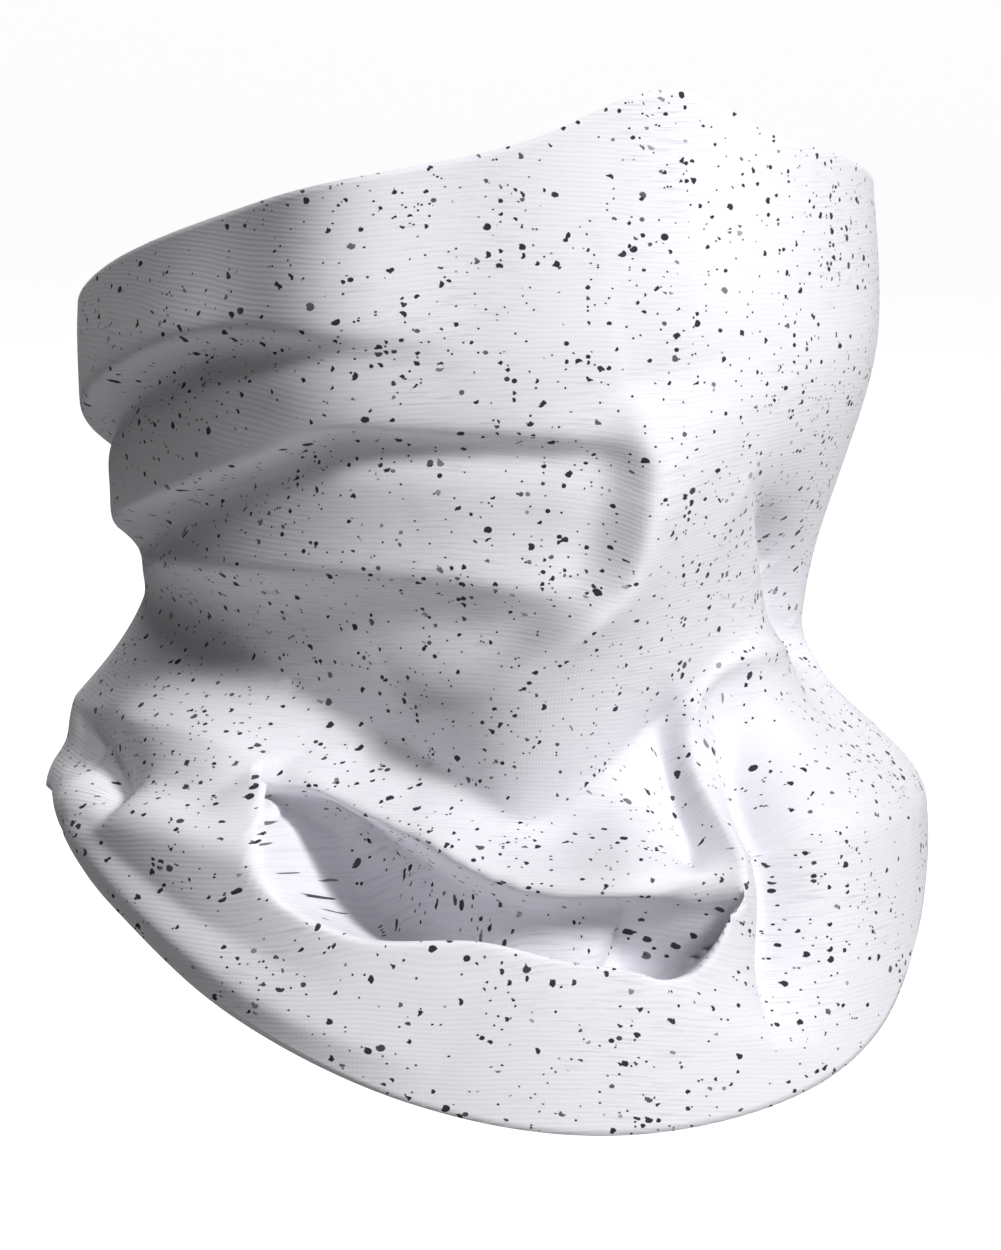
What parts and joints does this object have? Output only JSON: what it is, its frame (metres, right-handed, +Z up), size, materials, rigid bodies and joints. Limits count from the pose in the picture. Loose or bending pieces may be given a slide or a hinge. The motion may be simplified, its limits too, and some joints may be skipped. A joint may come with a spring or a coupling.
{
  "type": "neck gaiter",
  "caption": "Stretch-knit neck gaiter as worn: tube pulled up over the nose, gathered at the neck, draped over the collar; face cover swings down.",
  "frame": {"origin": "middle of the neck opening, at the tube's narrowest level", "axes": "+Z up through the head opening, -Y the way the wearer's face looks, +X to the wearer's left"},
  "size_m": [0.1973, 0.2025, 0.2182],
  "materials": {
    "print_knit": "matte fine stretch knit, heather white with an all-over slate speckle print",
    "seam_thread": "matte white polyester flatlock thread"
  },
  "bodies": {
    "collar": {"cowl_drape": "print_knit", "cowl_seam": "seam_thread", "neck_gather": "print_knit", "neck_seam": "seam_thread"},
    "face": {"face_cover": "print_knit", "face_seam": "seam_thread"}
  },
  "joints": [
    {"name": "face_cover_swing", "type": "hinge", "parent": "collar", "child": "face", "pos_m": [0, 0.103, 0.034], "axis": [1, 0, 0], "range_deg": [0, 25], "deforming": ["neck_gather", "neck_seam"]}
  ]
}
